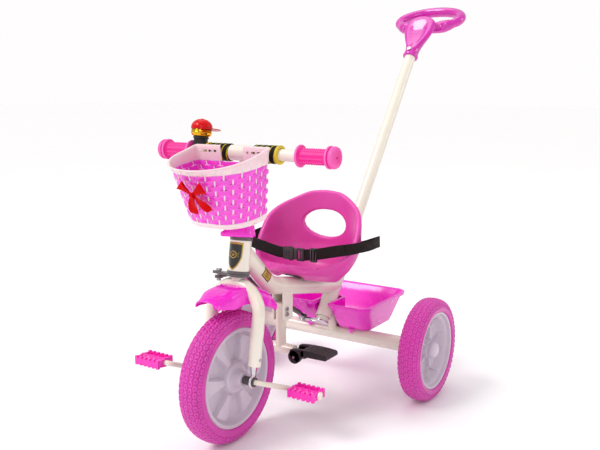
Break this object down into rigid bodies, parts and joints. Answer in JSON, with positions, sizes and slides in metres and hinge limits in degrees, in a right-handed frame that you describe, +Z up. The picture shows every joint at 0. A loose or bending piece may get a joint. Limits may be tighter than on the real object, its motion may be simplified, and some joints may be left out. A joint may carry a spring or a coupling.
{
  "type": "children's tricycle",
  "caption": "Children's tricycle with a pedalled front wheel, basket, bell, bucket seat with belt, rear tub, folding footrests and a push pole that steers through a rod.",
  "frame": {"origin": "on the floor, under the middle of the tricycle's overall box", "axes": "+Z up, the rider faces -Y, the rider's left is +X"},
  "size_m": [0.516, 1.0807, 0.89],
  "materials": {
    "frame_paint": "gloss",
    "pole_paint": "gloss",
    "seat_pink": "matte",
    "magenta_plastic": "gloss",
    "pink_grip": "matte",
    "pink_pedal": "satin",
    "front_foam": "matte",
    "rear_foam": "matte",
    "wheel_white": "satin",
    "basket_pink": "satin",
    "bow_red": "satin",
    "black_plastic": "satin",
    "black_steel": "satin",
    "stem_paint": "gloss",
    "black_foam": "matte",
    "yellow_foam": "matte",
    "zinc_steel": "satin",
    "chrome": "polished",
    "bell_brass": "polished",
    "bell_red": "gloss",
    "webbing": "matte",
    "badge_black": "gloss"
  },
  "bodies": {
    "frame": {"main_frame": "frame_paint", "rear_frame": "frame_paint", "headset_cups": "black_steel", "headset_bearings": "zinc_steel", "rear_axle": "zinc_steel", "axle_nuts": "zinc_steel", "beam_spacers": "black_plastic", "hanger_bracket": "frame_paint", "footrest_carrier": "frame_paint", "footrest_pins": "zinc_steel", "seat": "seat_pink", "seat_bracket": "black_steel", "frame_screws": "zinc_steel", "seat_belt": "webbing", "belt_buckle": "black_plastic", "belt_tongue": "black_plastic", "belt_slider": "black_plastic", "rear_bucket": "magenta_plastic", "head_badge": "badge_black", "side_label": "badge_black", "pole_bushes": "black_plastic"},
    "steering": {"fork_blades": "frame_paint", "steerer_tube": "frame_paint", "fork_ends": "zinc_steel", "axle_bushes": "black_plastic", "steering_arm": "black_steel", "steering_screws": "zinc_steel", "mudguard": "magenta_plastic", "stem_cover": "magenta_plastic", "handlebar_stem": "stem_paint", "handlebar": "frame_paint", "foam_wraps": "black_foam", "foam_rings": "yellow_foam", "grip_left": "pink_grip", "grip_right": "pink_grip", "basket": "basket_pink", "basket_bow": "bow_red", "basket_bracket": "black_plastic", "bell_base": "black_plastic", "bell_dome": "bell_brass"},
    "bell_cap": {"bell_cap": "bell_red"},
    "front_wheel": {"front_tyre": "front_foam", "front_rim": "wheel_white", "crank_axle": "frame_paint", "hub_spacers": "black_plastic"},
    "pedal_left": {"pedal_left": "pink_pedal"},
    "pedal_right": {"pedal_right": "pink_pedal"},
    "rear_wheel_left": {"rear_tyre_left": "rear_foam", "rear_rim_left": "wheel_white", "hub_cap_left": "wheel_white"},
    "rear_wheel_right": {"rear_tyre_right": "rear_foam", "rear_rim_right": "wheel_white", "hub_cap_right": "wheel_white"},
    "push_pole": {"push_pole": "pole_paint", "pole_handle": "magenta_plastic", "pole_screws": "zinc_steel", "crank_plate": "chrome"},
    "steering_rod": {"steering_rod": "black_steel"},
    "footrest_left": {"footrest_left": "black_plastic"},
    "footrest_right": {"footrest_right": "black_plastic"}
  },
  "joints": [
    {"name": "steer", "type": "hinge", "parent": "frame", "child": "steering", "pos_m": [0, -0.413, 0.127], "axis": [0, 0.1599, 0.9871], "range_deg": [-30, 30]},
    {"name": "front_wheel_spin", "type": "hinge", "parent": "steering", "child": "front_wheel", "pos_m": [0, -0.413, 0.127], "axis": [1, 0, 0], "continuous": true},
    {"name": "pedal_left_spin", "type": "hinge", "parent": "front_wheel", "child": "pedal_left", "pos_m": [0.128, -0.34366, 0.09842], "axis": [1, 0, 0], "continuous": true},
    {"name": "pedal_right_spin", "type": "hinge", "parent": "front_wheel", "child": "pedal_right", "pos_m": [-0.128, -0.48234, 0.15558], "axis": [1, 0, 0], "continuous": true},
    {"name": "rear_wheel_left_spin", "type": "hinge", "parent": "frame", "child": "rear_wheel_left", "pos_m": [0.234, -0.021, 0.1115], "axis": [1, 0, 0], "continuous": true},
    {"name": "rear_wheel_right_spin", "type": "hinge", "parent": "frame", "child": "rear_wheel_right", "pos_m": [-0.234, -0.021, 0.1115], "axis": [1, 0, 0], "continuous": true},
    {"name": "pole_turn", "type": "hinge", "parent": "frame", "child": "push_pole", "pos_m": [0, -0.076, 0.151], "axis": [0, 0.5878, 0.809], "range_deg": [-27.5, 27.5]},
    {"name": "rod_swing", "type": "hinge", "parent": "steering", "child": "steering_rod", "pos_m": [-0.046, -0.38342, 0.30962], "axis": [-0.0605, 0.1589, 0.9854], "range_deg": [-31, 31]},
    {"name": "footrest_left_fold", "type": "hinge", "parent": "frame", "child": "footrest_left", "pos_m": [0.046, -0.24, 0.128], "axis": [0, -1, 0], "range_deg": [0, 75]},
    {"name": "footrest_right_fold", "type": "hinge", "parent": "frame", "child": "footrest_right", "pos_m": [-0.046, -0.24, 0.128], "axis": [0, 1, 0], "range_deg": [0, 75]},
    {"name": "bell_cap_turn", "type": "hinge", "parent": "steering", "child": "bell_cap", "pos_m": [-0.107, -0.35922, 0.5466], "axis": [0, 0.1599, 0.9871], "range_deg": [0, 60], "stiffness_Nm_per_rad": 0.02}
  ],
  "couplings": [
    {"joint": "pole_turn", "follows": "steer", "ratio": 0.889},
    {"joint": "rod_swing", "follows": "steer", "ratio": -1.002}
  ]
}
